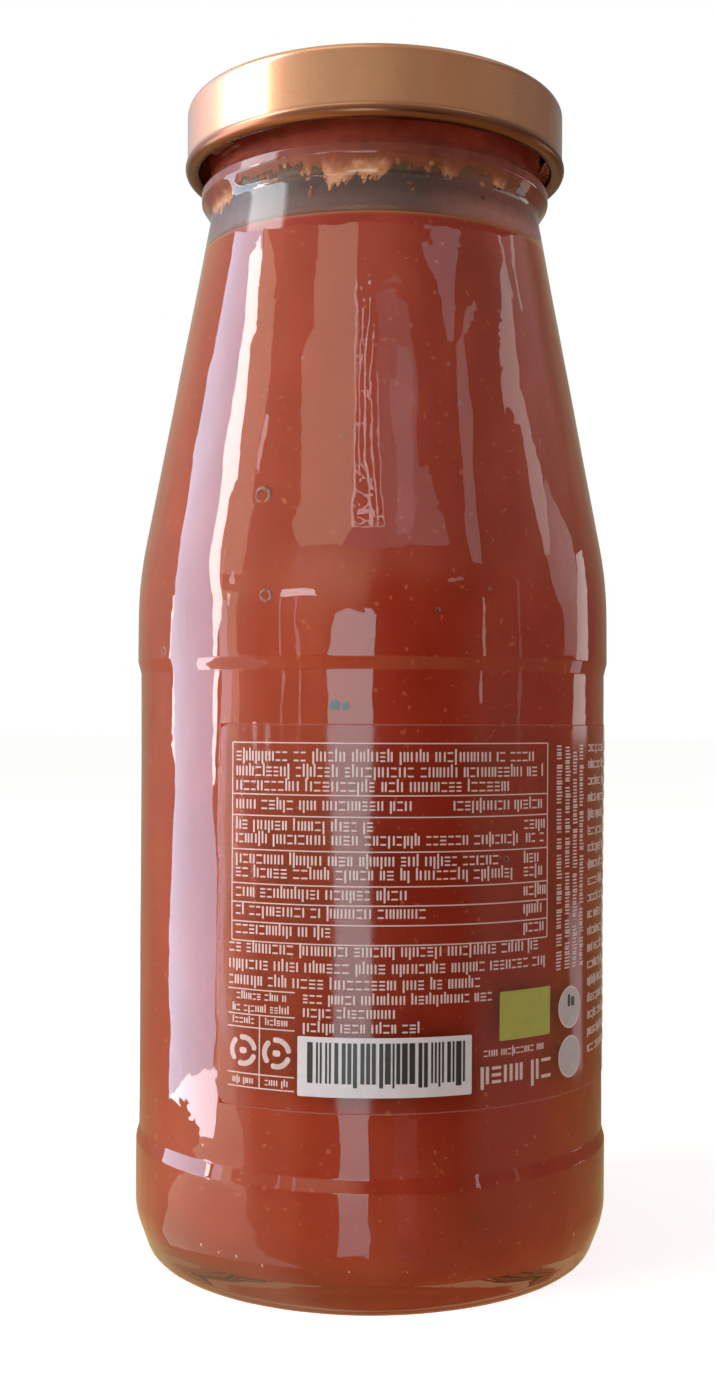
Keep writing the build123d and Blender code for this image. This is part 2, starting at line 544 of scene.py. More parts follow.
def shell(name, foot, head, thickness, columns, rows):
    """A closed coat on the glass's inside; foot, head and thickness are functions of the angle."""
    points, faces = [], []
    for side_of_coat in (0, 1):
        for row in range(rows + 1):
            share = row / rows
            for column in range(columns):
                angle = 360 * column / columns
                height = foot(angle) + (head(angle) - foot(angle)) * share
                depth = thickness(angle, share) if side_of_coat else 0
                points.append(at(wall_radius(wall_path, height) - depth, angle, height))
    side_size = (rows + 1) * columns
    for column in range(columns):
        after = (column + 1) % columns
        for row in range(rows):
            low, high = row * columns, (row + 1) * columns
            outer = (low + column, low + after, high + after, high + column)
            faces.append(outer)
            faces.append([side_size + corner for corner in reversed(outer)])
        faces.append((column, side_size + column, side_size + after, after))
        left, right = rows * columns + column, rows * columns + after
        faces.append((right, side_size + right, side_size + left, left))
    return make_piece(name, points, faces)


# %% Coat in the neck
def coat_thickness(angle, share):
    """Thin and rounded at the free edge, thicker and lumpy above."""
    lump = round_noise(angle, 10, share * 6)
    return reach_into_wall + 0.12 + (0.45 + 0.3 * lump) * min(1, share * 6) ** 0.5


coat = shell("dried_coat", coat_edge, lambda angle: coat_top, coat_thickness, 480, 22)

# %% [markdown]
# The lobes dry orange first, and the rest stays red. How orange each point is depends on the lobe it sits
# in, so it is worked out point by point and kept on the mesh as an attribute that the finish reads. Higher
# up, under the lid, the colour is painted up to 1.7 times lighter: painted light against the lid's shade.

# %% Dried finish
orange_part = coat.data.attributes.new("orange_part", "FLOAT", "POINT")
for number, point in enumerate(coat.data.vertices):
    place = point.co / MM
    angle = angle_of(place)
    patch = noise.noise(place / 2.4) + 0.6 * noise.noise(place / 0.9)
    lobe = min(1, max(0, lobe_depth(angle) - 1.3) / 1.6)
    low = min(1, max(0, (coat_foot + 0.1 + 0.7 * patch - place.z) / 1.1))
    orange_part.data[number].value = min(1, max(0, low * lobe * (1 + 0.5 * patch)))

dried, output = new_finish("dried_sauce")
red_colours = [(0.35, (0.2, 0.024, 0.012)), (0.65, (0.3, 0.05, 0.024))]
orange_colours = [(0.35, (0.5, 0.18, 0.08)), (0.65, (0.74, 0.36, 0.2))]
red = shades(dried, grain(dried, 4, (1, 1, 1.4), 4), red_colours)
orange = shades(dried, grain(dried, 1.6, (1, 1, 1), 4), orange_colours)
share = add(dried, "Attribute", attribute_name="orange_part").outputs["Fac"]
# painted light: the coat's colour is made up to 1.7 times lighter towards the top, under the lid
lift = mapped(dried, height_of(dried), 157 * MM, 162 * MM, 1.0, 1.7)
dried_and_painted_light_colour = brightened(dried, blended(dried, share, red, orange), lift)
body = add(dried, "BsdfPrincipled", Roughness=0.6)
body.inputs["Specular IOR Level"].default_value = 0.2
join(dried, dried_and_painted_light_colour, body.inputs["Base Color"])
join(dried, relief(dried, grain(dried, 0.9, (1, 1, 1), 3), 0.08), body.inputs["Normal"])
join(dried, body.outputs[0], output.inputs["Surface"])
coat.data.materials.append(dried)

# %% [markdown]
# Below the coat the neck isn't clean. Shaking leaves scraps of skin, drops and a thin grey smear there.
# The scraps are low rounded lumps with an uneven outline, most of them at the left front. Each point
# keeps its scrap's tint. The darkest tint, chosen most often at the left front, is partly painted shade:
# it stands for the dark patches where the thick clear glass shows dark.

# %% One scrap
def scrap(store, tints, angle, height, size, tall, tint):
    """Add a low uneven lump to the inside of the glass; it is tall times as high as wide."""
    points, faces = store
    centre = at(wall_radius(wall_path, height) - reach_into_wall, angle, height)
    out, across, up = at(1, angle, 0), at(1, angle + 90, 0), Vector((0, 0, MM))
    spokes, first = 12, len(points)
    for share, lift in ((0.35, 1), (0.75, 0.75), (1, 0), (0.75, -0.75), (0.35, -1)):
        for spoke in range(spokes):
            turn = 2 * math.pi * spoke / spokes
            spot = Vector((math.cos(turn) * 1.7, math.sin(turn) * 1.7, first * 0.37))
            uneven = 1 + 0.45 * noise.noise(spot)
            spread = size * share * uneven
            flat = across * math.cos(turn) * spread + up * math.sin(turn) * spread * tall
            points.append(centre + flat + out * 0.32 * lift * min(1, size / 0.5))
    rows = 5
    for row in range(rows - 1):
        for spoke in range(spokes):
            a, b = first + row * spokes + spoke, first + row * spokes + (spoke + 1) % spokes
            faces.append((a, a + spokes, b + spokes, b))
    faces.append([first + spoke for spoke in range(spokes)])
    faces.append([first + (rows - 1) * spokes + spoke for spoke in reversed(range(spokes))])
    tints += [tint] * (rows * spokes)


# %% Scraps and drops in the neck
scraps, scrap_tints = ([], []), []
litter = random.Random(5)
scrap_count = 300
for number in range(scrap_count):
    zone = litter.random()
    if zone < 0.45:
        angle = litter.uniform(-48, -16)
    elif zone < 0.6:
        angle = litter.uniform(-20, 66)
    else:
        angle = litter.uniform(0, 360)
    height = litter.triangular(149.6, 156.2, 155.8)
    size = litter.choice((0.14, 0.18, 0.24, 0.34, 0.5))
    at_left = -50 < angle < -16 or 310 < angle < 344
    # painted shade: the darkest tint, 0, is chosen most often at the left front
    tint = litter.choice((0, 0, 0, 0.3, 0.4, 0.5, 0.55) if at_left else (0, 0.1, 0.2, 0.35, 0.5))
    scrap(scraps, scrap_tints, angle, height, size, litter.uniform(0.8, 2.2), tint)
neck_scraps_and_painted_shade = make_piece("neck_scraps_and_painted_shade", *scraps)
tint_values = neck_scraps_and_painted_shade.data.attributes.new("tint", "FLOAT", "POINT")
for number, value in enumerate(scrap_tints):
    tint_values.data[number].value = value

# %% Finish of the scraps
scrap_finish, output = new_finish("neck_scraps_and_painted_shade")
tint = add(scrap_finish, "Attribute", attribute_name="tint").outputs["Fac"]
body = add(scrap_finish, "BsdfPrincipled", Roughness=0.25)
# The darkest stop is partly painted shade; the palest is a painted glint colour that no tint reaches.
scrap_and_painted_shade_colours = [
    (0.0, (0.09, 0.02, 0.014)), (0.3, (0.25, 0.06, 0.03)),
    (0.55, (0.5, 0.21, 0.1)), (0.95, (0.8, 0.7, 0.68)),
]
join(scrap_finish, shades(scrap_finish, tint, scrap_and_painted_shade_colours), body.inputs["Base Color"])
join(scrap_finish, body.outputs[0], output.inputs["Surface"])
neck_scraps_and_painted_shade.data.materials.append(scrap_finish)

# %% [markdown]
# The smear is the same kind of shell as the coat, but thinner. It covers patchily and is painted up to
# 3.8 times paler to the right: painted light, where the light comes through the neck.

# %% Grey smear in the neck
smear = shell(
    "neck_smear", lambda angle: fill_height - 0.8, lambda angle: coat_edge(angle) + 0.6,
    lambda angle, share: reach_into_wall + 0.06 + 0.04 * round_noise(angle, 30, share * 3), 360, 8,
)
smear_finish, output = new_finish("neck_smear")
patches = grain(smear_finish, 3.2, (1, 1, 0.9), 3)
cover = mapped(smear_finish, patches, 0.35, 0.65, 0.72, 0.97)
place = add(smear_finish, "SeparateXYZ", Vector=add(smear_finish, "TexCoord").outputs["Object"])
low_down = mapped(smear_finish, place.outputs["Z"], (fill_height + 4) * MM, fill_height * MM)
smear_colours = [(0.2, (0.055, 0.01, 0.006)), (0.75, (0.12, 0.042, 0.034))]
# painted light: the smear's colour is made up to 3.8 times lighter to the right
painted_light_to_right = mapped(smear_finish, place.outputs["X"], 6 * MM, 16 * MM, 1.0, 3.8)
smear_tone = brightened(smear_finish, shades(smear_finish, low_down, smear_colours), painted_light_to_right)
body = add(smear_finish, "BsdfPrincipled", Roughness=0.5)
join(smear_finish, smear_tone, body.inputs["Base Color"])
open_part = add(smear_finish, "BsdfTransparent")
part_clear = mixed(smear_finish, cover, open_part.outputs[0], body.outputs[0])
join(smear_finish, let_light_through(smear_finish, part_clear), output.inputs["Surface"])
smear.data.materials.append(smear_finish)

# %% [markdown]
# ## The lid
# The twist-off lid is thin tinplate with a copper-coloured lacquer. Its shape is already right in the CAD
# part, so that part stays and only gets a finish: a satin metal with a faint haze in its gloss. A clear
# coat gives the top its shine. The rolled edge below is dull and painted dark, a painted shade that keeps
# it from mirroring the bright room.

# %% Copper lacquer
copper, output = new_finish("copper_lacquer")
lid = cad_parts["lid"]
lacquer_colours = [(0.3, (0.62, 0.285, 0.145)), (0.7, (0.67, 0.32, 0.17))]
lacquer = shades(copper, grain(copper, 14, (1, 1, 1), 4), lacquer_colours)
curl_top = box_mm("lid")[0].z + 2.3
above_curl = mapped(copper, height_of(copper), (curl_top - 1.2) * MM, curl_top * MM)
# painted shade: the rolled edge below the curl's top gets this dark colour instead of the lacquer's
curl_painted_shade = (0.2, 0.075, 0.043)
body = add(copper, "BsdfPrincipled", Metallic=1.0)
join(copper, blended(copper, above_curl, curl_painted_shade, lacquer), body.inputs["Base Color"])
join(copper, mapped(copper, grain(copper, 5, (1, 1, 1), 5), 0, 1, 0.24, 0.31), body.inputs["Roughness"])
join(copper, above_curl, body.inputs["Coat Weight"])
body.inputs["Coat IOR"].default_value = 1.6
body.inputs["Coat Roughness"].default_value = 0.06
join(copper, relief(copper, grain(copper, 0.25, (1, 1, 1), 2), 0.0015), body.inputs["Normal"])
join(copper, body.outputs[0], output.inputs["Surface"])
lid.data.materials.clear()
lid.data.materials.append(copper)
print(f"lacquer on the lid, darker below {curl_top:.1f} mm")

# %% [markdown]
# ## The label film
# The label is a clear film glued round the bottle. It follows the glass's waves, so it is a grid of
# points on the glass with a back and a rim. A film this thin doesn't bend light, so a mix of Transparent
# and Glossy, steered by Fresnel, is enough. Its gloss is softer than the glass's, and its back is left
# plainly transparent.

# %% Where the points of a plate lie
film_thickness = box_mm("label")[1].x - panel_radius
degree_mm = math.pi * panel_radius / 180
film_corner = 1.5
print(f"film {film_thickness:.2f} mm thick, {(film_end - film_start) * degree_mm:.1f} mm long")


def stations(low, high, step, corner, rim=0):
    """Places from low to high at most step apart, closer together in the rounded corners and at the rim."""
    bends = 3 if corner < 0.3 else 3 + math.ceil(4 * corner)
    bent = {corner * (1 - math.cos(math.pi / 2 * bend / bends)) for bend in range(bends + 1)}
    ends = sorted({0, rim} | bent)
    inner = max(1, math.ceil((high - low - 2 * corner) / step))
    middle = [corner + (high - low - 2 * corner) * number / inner for number in range(1, inner)]
    return [low + place for place in ends + middle] + [high - place for place in reversed(ends)]


# %% A plate that follows the glass
def plate(store, left, right, low, high, back, front, corner=0.12, rim=0):
    """Add to store a thin closed plate on the glass, between two angles and heights, its corners rounded."""
    points, faces = store
    columns = stations(left * degree_mm, right * degree_mm, 0.95, corner, rim)
    tall = high - low
    steps = max(1, math.ceil(tall / 1.8))
    levels = {rim + (tall - 2 * rim) * number / steps for number in range(steps)}
    levels = sorted({0, rim, tall - rim, tall} | levels)
    rows = len(levels) - 1
    first = len(points)
    for lift in (back, front):
        for column in columns:
            from_end = min(column - columns[0], columns[-1] - column)
            inset = corner - math.sqrt(max(0, corner**2 - max(0, corner - from_end) ** 2))
            for row in range(rows + 1):
                height = min(max(low + levels[row], low + inset), high - inset)
                if 0 < row < rows:
                    height = low + inset + (tall - 2 * inset) * levels[row] / tall
                angle = column / degree_mm
                points.append(at(panel_radius + wave(panel_radius, angle, height) + lift, angle, height))
    many = rows + 1
    front_side = first + len(columns) * many
    for column in range(len(columns) - 1):
        for row in range(rows):
            a = column * many + row
            b = a + many
            faces.append((front_side + a, front_side + b, front_side + b + 1, front_side + a + 1))
            faces.append((first + a, first + a + 1, first + b + 1, first + b))
        for row, turn in ((0, 1), (rows, -1)):
            a = column * many + row
            faces.append((first + a, first + a + many, front_side + a + many, front_side + a)[::turn])
    for column, turn in ((0, -1), (len(columns) - 1, 1)):
        for row in range(rows):
            a = column * many + row
            faces.append((first + a, first + a + 1, front_side + a + 1, front_side + a)[::turn])


# %% One piece of many plates
def printed(name, store, finish):
    """Make one piece of all the plates in store."""
    piece = make_piece(name, *store)
    piece.data.set_sharp_from_angle(angle=math.radians(40))
    piece.data.materials.append(finish)
    return piece


# %% The film
film, output = new_finish("label_film")
clear = add(film, "BsdfTransparent", Color=(0.97, 0.955, 0.95, 1))
shine = add(film, "BsdfGlossy", Color=(1, 1, 1, 1), Roughness=0.1)
join(film, relief(film, grain(film, 5, (1, 1, 2), 2), 0.01), shine.inputs["Normal"])
edge_gloss = add(film, "Fresnel", IOR=1.5).outputs[0]
outside_only = add(film, "Math", operation="SUBTRACT")
outside_only.inputs[0].default_value = 1
join(film, add(film, "NewGeometry").outputs["Backfacing"], outside_only.inputs[1])
amount = add(film, "Math", operation="MULTIPLY")
join(film, edge_gloss, amount.inputs[0])
join(film, outside_only.outputs[0], amount.inputs[1])
skin = mixed(film, amount.outputs[0], clear.outputs[0], shine.outputs[0])
join(film, let_light_through(film, skin), output.inputs["Surface"])

film_store = ([], [])
film_rim = 0.16
plate(film_store, film_start, film_end, film_low, film_high, 0, film_thickness, film_corner, film_rim)
film_piece = printed("clear_film", film_store, film)
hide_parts("label")

# %% [markdown]
# Cut film shows as a faint pale line, since its edge scatters light. The faces within a hair of the edge
# get a finish of their own for that, nearly clear but a little milky.

# %% Cut edge of the film
cut_edge, output = new_finish("film_cut_edge")
edge_colours = [(0.3, (0.75, 0.5, 0.45)), (0.7, (0.85, 0.65, 0.6))]
milky = add(cut_edge, "BsdfPrincipled", Roughness=0.3)
join(cut_edge, shades(cut_edge, grain(cut_edge, 3), edge_colours), milky.inputs["Base Color"])
clear = add(cut_edge, "BsdfTransparent")
part_clear = mixed(cut_edge, 0.09, clear.outputs[0], milky.outputs[0])
join(cut_edge, let_light_through(cut_edge, part_clear), output.inputs["Surface"])
film_piece.data.materials.append(cut_edge)
edge_faces = 0
for face in film_piece.data.polygons:
    middle = face.center / MM
    angle = (angle_of(middle) - film_start) % 360
    from_side = min(angle, film_end - film_start - angle) * degree_mm
    from_end = min(middle.z - film_low, film_high - middle.z)
    in_corner = math.hypot(max(0, film_corner - from_side), max(0, film_corner - from_end))
    if min(from_side, from_end) < film_rim or in_corner > film_corner - film_rim:
        face.material_index = 1
        edge_faces += 1
print(edge_faces, "faces along the film's cut edge")

# %% [markdown]
# ## The print
# The print on such a label is small rules, rows of words, a bar code and a few signs. Here it is only
# plain shapes: rules, rows of short upright strokes in word-long groups, and flat fields. Each is a plate
# of ink a few hundredths of a millimetre thick on the film.

# %% Inks
ink_thickness = 0.03


def ink_finish(name, colour, roughness=0.35):
    """A slightly uneven opaque ink."""
    finish, output = new_finish(name)
    dark = [0.93 * part for part in colour]
    tone = shades(finish, grain(finish, 1.2, (1, 1, 1), 3), [(0.35, dark), (0.65, colour)])
    body = add(finish, "BsdfPrincipled", Roughness=roughness)
    join(finish, tone, body.inputs["Base Color"])
    join(finish, relief(finish, grain(finish, 0.4, (1, 1, 1), 2), 0.004), body.inputs["Normal"])
    join(finish, body.outputs[0], output.inputs["Surface"])
    return finish


pale_ink = ink_finish("pale_ink", (0.8, 0.63, 0.63))
panel_ink = ink_finish("panel_ink", (0.8, 0.79, 0.88))
disc_ink = ink_finish("disc_ink", (0.56, 0.52, 0.58))
bar_ink = ink_finish("bar_ink", (0.025, 0.025, 0.027))
green_ink = ink_finish("green_ink", (0.46, 0.48, 0.095))

pale, panel, discs, bars, green = ([], []), ([], []), ([], []), ([], []), ([], [])


def ink(store, left, right, low, high, corner=0.06, layer=0):
    """A plate of ink on the film; a higher layer lies on the one below."""
    top = film_thickness + ink_thickness * (layer + 1)
    plate(store, left, right, low, high, film_thickness, top, corner)


# %% Plates of ink and rules
def rule_across(left, right, height, width=0.16):
    """A level rule."""
    ink(pale, left, right, height - width / 2, height + width / 2, 0.05)


def rule_up(angle, low, high, width=0.27):
    """An upright rule; its width is in degrees."""
    ink(pale, angle - width / 2, angle + width / 2, low, high, 0.05)


# %% Rows of words
chance = random.Random(11)


def word_row(left, right, height, size=1.0, weight=0.25):
    """A row of word-long groups of short strokes and dashes, between two angles."""
    angle = left
    stroke = weight / degree_mm
    while angle < right - 1:
        for mark in range(chance.randint(2, 9)):
            kind = chance.choice(("upright", "pair", "pair", "pair", "dashes", "dashes"))
            gap = 0 if kind == "upright" else chance.choice((0.34, 0.42, 0.5)) * size / degree_mm
            wide = gap + stroke
            if angle + wide > right:
                return
            top = height + size * chance.choice((1, 1, 1, 1.3))
            foot = height - size * chance.choice((0, 0, 0, 0, 0.3))
            if kind == "dashes":
                for level in chance.choice(((0, 1), (0, 1), (0, 0.5, 1))):
                    low = height + level * (size - weight)
                    ink(pale, angle, angle + wide, low, low + weight * 0.85, 0.07)
            else:
                ink(pale, angle, angle + stroke, foot, top, 0.07)
            if kind == "pair":
                ink(pale, angle + wide - stroke, angle + wide, height, height + size, 0.07)
            angle += wide + 0.2 * size / degree_mm
        angle += 0.5 * size / degree_mm


# %% [markdown]
# ## What is printed where
# A framed table of rows with numbers takes the upper half. Below it are lines of words, a small framed
# block with two signs, a bar code on a pale panel, a green field and two pale discs. Upright columns of
# words follow to the right, and then a block of level lines. On the far side are four rules and a few
# flat fields.

# %% The table
table_left, table_right, table_low, table_high = -32.3, 43.4, 49.3, 75.5
rules = [68.7, 65.9, 61.4, 56.9, 54.4, 51.85]
rule_across(table_left, table_right, table_low)
rule_across(table_left, table_right, table_high)
rule_up(table_left, table_low, table_high)
rule_up(table_right, table_low, table_high)
for height in rules:
    rule_across(table_left, table_right, height)
for height, right in ((73.1, 40.5), (71.1, 42.6), (69.2, 33.5)):
    word_row(table_left + 1, right, height, 1.3)
for height, words_end, numbers_start in (
    (66.8, 9, 18),
    (64.1, 2, 36),
    (62.3, 35, 36.6),
    (59.6, 29, 36),
    (57.8, 34, 36),
    (55.2, 9, 36),
    (52.8, 12, 36),
    (50.3, -7, 36),
):
    word_row(table_left + 1, words_end, height - 0.05, 1.25)
    word_row(numbers_start, 42.9, height - 0.05, 1.25)
print("table:", len(pale[1]), "faces")

# %% Lines of words and the small framed block
for left, right, height in ((-33, 42, 47.9), (-33, 43.5, 45.7), (-33, 25, 43.6)):
    word_row(left, right, height - 0.1, 1.25)
for left, right, height in ((-14.8, 28, 41.6), (-14.8, 6, 39.8), (-14.8, 12, 37.9)):
    word_row(left, right, height, 1.15)

sign_left, sign_middle, sign_right = -33.2, -25, -16.7
sign_middles = ((sign_left + sign_middle) / 2, (sign_middle + sign_right) / 2)
for left, right, height in ((-31, -18.5, 41.9), (-32, -17.6, 40.3)):
    word_row(left, right, height - 0.3, 0.85, 0.2)
for height in (42.9, 39.6, 37.9, 31.8, 30.0):
    rule_across(sign_left, sign_right, height)
rule_up(sign_middle, 30.0, 39.6)
for middle in sign_middles:
    word_row(middle - 2.8, middle + 2.8, 38.4, 0.75, 0.2)
    word_row(middle - 2.8, middle + 2.8, 30.5, 0.75, 0.2)
print("table, lines and small block:", len(pale[1]), "faces")


# %% Ring signs
def ring_sign(middle, height, size):
    """Three short arcs round a middle, as flat plates."""
    half = 0.35
    for part in range(3):
        for step in range(9):
            turn = math.radians(part * 120 + 15 + step * 10)
            spot, up = middle + size * math.cos(turn) / degree_mm, height + size * math.sin(turn)
            ink(pale, spot - half / degree_mm, spot + half / degree_mm, up - half, up + half, 0.3)


for middle in sign_middles:
    ring_sign(middle, 34.8, 1.75)
    ink(pale, middle - 0.9, middle + 0.9, 34.4, 35.2, 0.3)

# %% Bar code, green field and large words
ink(panel, -16, 22.6, 29.5, 37.3, 0.2)
angle = -13.8
while angle < 21.2:
    wide = chance.choice((0.26, 0.26, 0.5, 0.74)) / degree_mm
    ink(bars, angle, angle + wide, chance.choice((31.3, 31.3, 30.8)), 36.6, 0.02, 1)
    angle += wide + chance.choice((0.24, 0.24, 0.46, 0.68)) / degree_mm
ink(green, 29.6, 44.6, 36.1, 42.6, 0.15)
word_row(25.5, 43.5, 34.2, 0.85, 0.2)
word_row(24.8, 38, 30.6, 2.3, 0.48)
word_row(38.6, 45.5, 30.3, 2.7, 0.5)
print("bar code:", len(bars[1]), "faces")


# %% Pale discs
def disc(middle, height, radius):
    """A round field."""
    for store, size, layer in ((pale, radius, 0), (discs, radius - 0.3, 1)):
        half = size / degree_mm
        ink(store, middle - half, middle + half, height - size, height + size, size * 0.999, layer)


for height in (39.1, 32.3):
    disc(52.6, height, 2.9)
ink(bars, 51.4, 52.4, 39.2, 40.9, 0.25, 2)
ink(bars, 52.9, 54.2, 39.2, 40.5, 0.25, 2)


# %% Columns of words and the block past the side
def word_column(angle, low, high, size=1.0, weight=0.22):
    """A row of words turned upright: groups of short level strokes."""
    height = low
    while height < high - 1:
        for mark in range(chance.randint(3, 9)):
            wide = chance.choice((weight, 0.5, 0.65)) * size
            if height + wide > high:
                return
            left = angle - size / 2 / degree_mm
            right = angle + size * chance.choice((0.5, 0.5, 0.7)) / degree_mm
            ink(pale, left, right, height, height + weight, 0.07)
            if wide > weight:
                ink(pale, left, right, height + wide - weight, height + wide, 0.07)
            height += wide + 0.22 * size
        height += 0.5 * size


for angle in (47.6, 51.0, 54.4, 57.6):
    word_column(angle, 44.5, 75.5, 1.05)
for number in range(19):
    word_row(61.5, 61.5 + chance.uniform(22, 39), 74.2 - number * 2.35, 1.05)

# %% Fields on the far side
far_middle, far_half = 178, 60
for height in (33, 34.2, 71.5, 72.7):
    rule_across(far_middle - far_half, far_middle + far_half, height, 0.3)
for height, share, tall in ((60, 0.8, 7.5), (50.5, 0.56, 4.6), (43.8, 0.66, 2.4), (38.8, 0.4, 2.0)):
    half = share * far_half
    ink(pale, far_middle - half, far_middle + half, height - tall / 2, height + tall / 2, 0.9)

# %% One piece for each ink
for name, store, finish in (
    ("pale_print", pale, pale_ink), ("pale_panel", panel, panel_ink), ("grey_discs", discs, disc_ink),
    ("dark_bars", bars, bar_ink), ("green_field", green, green_ink),
):
    printed(name, store, finish)

# %% [markdown]
# ## Small things in the glass and the sauce
# A few bubbles are caught where the sauce meets the glass. Each is a tiny ring. A dark seed sits in the
# same place, and near the foot pale blobs paint the glints of trapped air, as painted highlights. They are
# small closed meshes with their middles in the wall.

# %% Bubbles
def bubble_ring(store, angle, height, radius, flat, turns, hollow):
    """Add a small rounded ring to the sauce's outside; hollow is the share of its width that stays open."""
    points, faces = store
    centre = at(wall_radius(wall_path, height) - reach_into_wall + 0.28, angle, height)
    out, across, up = at(1, angle, 0), at(1, angle + 90, 0), Vector((0, 0, MM))
    first, layers = len(points), 8
    tube, ring = radius * (1 - hollow) / 2, radius * (1 + hollow) / 2
    for turn_number in range(turns):
        turn = 2 * math.pi * turn_number / turns
        direction = across * math.cos(turn) + up * math.sin(turn)
        for layer in range(layers):
            around = 2 * math.pi * layer / layers
            spread, lift = ring + tube * math.cos(around), tube * flat * math.sin(around)
            points.append(centre + direction * spread + out * lift)
    for turn_number in range(turns):
        a, b = first + turn_number * layers, first + (turn_number + 1) % turns * layers
        for layer in range(layers):
            after = (layer + 1) % layers
            faces.append((a + layer, b + layer, b + after, a + after))


bubbles = ([], [])
for angle, height, radius in (
    (-28, 108.3, 1.3), (-25.3, 94.9, 0.95), (33, 60, 0.5), (-60, 88, 0.7),
    (80, 100, 0.8), (130, 110, 1.1), (200, 84, 0.9),
):
    bubble_ring(bubbles, angle, height, radius, 0.5, 20, 0.55)
for angle, height, radius in (
    (24, 121, 0.35), (15, 93, 0.4), (-8, 116, 0.3), (28, 96, 0.3), (-20, 127, 0.3),
):
    bubble_ring(bubbles, angle, height, radius, 0.6, 12, 0.3)
rings = make_piece("ring_bubbles", *bubbles)


# %% Finishes for the small things
def speckled(piece, name, roughness, size, colours):
    """Give a piece a finish whose colours change in spots of this size."""
    finish, output = new_finish(name)
    body = add(finish, "BsdfPrincipled", Roughness=roughness)
    join(finish, shades(finish, grain(finish, size), colours), body.inputs["Base Color"])
    join(finish, body.outputs[0], output.inputs["Surface"])
    piece.data.materials.append(finish)


speckled(rings, "bubble_rim", 0.4, 0.6, [(0.35, (0.14, 0.02, 0.015)), (0.65, (0.5, 0.17, 0.11))])

# %% A dark seed and painted glints of trapped air near the foot
seed_store, seed_tints = ([], []), []
scrap(seed_store, seed_tints, -8.5, 80.5, 1.15, 0.8, 0)
scrap(seed_store, seed_tints, -6.3, 80.3, 0.85, 0.9, 0)
seed = make_piece("dark_seed", *seed_store)
speckled(seed, "dark_seed", 0.4, 0.8, [(0.35, (0.02, 0.015, 0.02)), (0.65, (0.06, 0.05, 0.075))])

# painted highlights: pale blobs that stand for the glints of trapped air near the foot
air_store, air_tints = ([], []), []
for angle, height, size in (
    (-45, 7.2, 0.22), (-39.5, 6.8, 0.2), (-34, 6.8, 0.26), (-27, 6.2, 0.2), (-4.9, 6.4, 0.16),
    (9.2, 6.3, 0.14), (21, 6.8, 0.14), (60, 7, 0.2), (118, 6.5, 0.24), (150, 7, 0.18), (196, 6.6, 0.22),
    (240, 7.2, 0.2),
):
    scrap(air_store, air_tints, angle, height, size, 2.2, 1)
air = make_piece("painted_air_glints", *air_store)
speckled(air, "painted_air_glints", 0.15, 0.6, [(0.3, (0.75, 0.4, 0.3)), (0.7, (0.9, 0.6, 0.5))])

# %% [markdown]
# ## The room that the glass mirrors
# Glass is seen by what it mirrors. A plain studio would leave the bottle dull, so tall bright cards stand
# round it for mirrored rays only, in front of a darker warm room. The cards' places give the streaks: a
# wide cool one at the left, a narrow one in the middle and a thin one at the right. They light nothing,
# so the colours stay plain.

# %% Cards that only glossy rays see
room_radius = 1000


def only_mirrored(thing):
    """This thing is seen in reflections and nowhere else."""
    thing.visible_camera = False
    thing.visible_diffuse = False
    thing.visible_transmission = False
    thing.visible_volume_scatter = False
    thing.visible_shadow = False


def glow(name, colour, strength, foot=None):
    """An emitting finish; foot is a weaker strength low down and the two heights of the fade."""
    finish, output = new_finish(name)
    light = add(finish, "Emission", Color=(*colour, 1), Strength=strength)
    if foot is not None:
        weak, low, high = foot
        fade = mapped(finish, height_of(finish), low * MM, high * MM, weak, strength)
        join(finish, fade, light.inputs["Strength"])
    join(finish, light.outputs[0], output.inputs["Surface"])
    return finish


def card(name, colour, strength, edges, radius=room_radius, foot=None):
    """A glowing card whose sides change with height; edges are (height, left, right)."""
    points, faces, pieces = [], [], 8
    for height, left, right in edges:
        angles = [left + (right - left) * number / pieces for number in range(pieces + 1)]
        points += [at(radius, angle, height) for angle in angles]
    for row in range(len(edges) - 1):
        low, high = row * (pieces + 1), (row + 1) * (pieces + 1)
        faces += [(low + n, high + n, high + n + 1, low + n + 1) for n in range(pieces)]
    mesh = bpy.data.meshes.new(name)
    mesh.from_pydata(points, [], faces)
    mesh.materials.append(glow(name, colour, strength, foot))
    only_mirrored(into_scene(name, mesh))


# %% Windows and walls at the left
sky = (0.58, 0.8, 1.0)
tan = (1.0, 0.93, 0.68)
grey = (1.0, 0.97, 0.92)
left_window = [
    (-202, -112, -80), (-165, -113, -80), (-150, -113, -79), (-130, -113, -77.5), (-20, -113, -78),
    (15, -112, -81), (200, -111, -82.5), (300, -110, -85), (490, -113, -85), (642, -111, -86),
    (727, -111, -85), (748, -111, -83), (791, -113, -84.5), (812, -115, -87), (833, -114, -89),
    (1000, -114, -93),
]
card("left_window", sky, 7.6, left_window)
left_pane = [
    (35, -81.5, -79.5), (130, -82, -79), (145, -82.4, -76.6), (205, -82.1, -74), (296, -84.9, -77),
    (406, -85.8, -77.5), (500, -86, -77.6), (560, -86.5, -77.5), (621, -87, -77), (663, -85.5, -79.3),
    (684, -88.5, -77.5), (706, -90, -79.5), (727, -87, -81.5), (741, -85, -83),
]
card("left_pane", (1, 0.98, 0.97), 17, left_pane, 990)
card("left_frame", (1, 1, 1), 10, [(50, -112.2, -111.2), (200, -112, -111)], 980)
left_sill = [
    (-226, -86, -80), (-217, -91, -78), (-207, -99, -78), (-196, -111, -78), (-184, -98, -78),
    (-172, -88, -79),
]
card("left_sill", (0.92, 0.9, 1.0), 13.5, left_sill, 985)
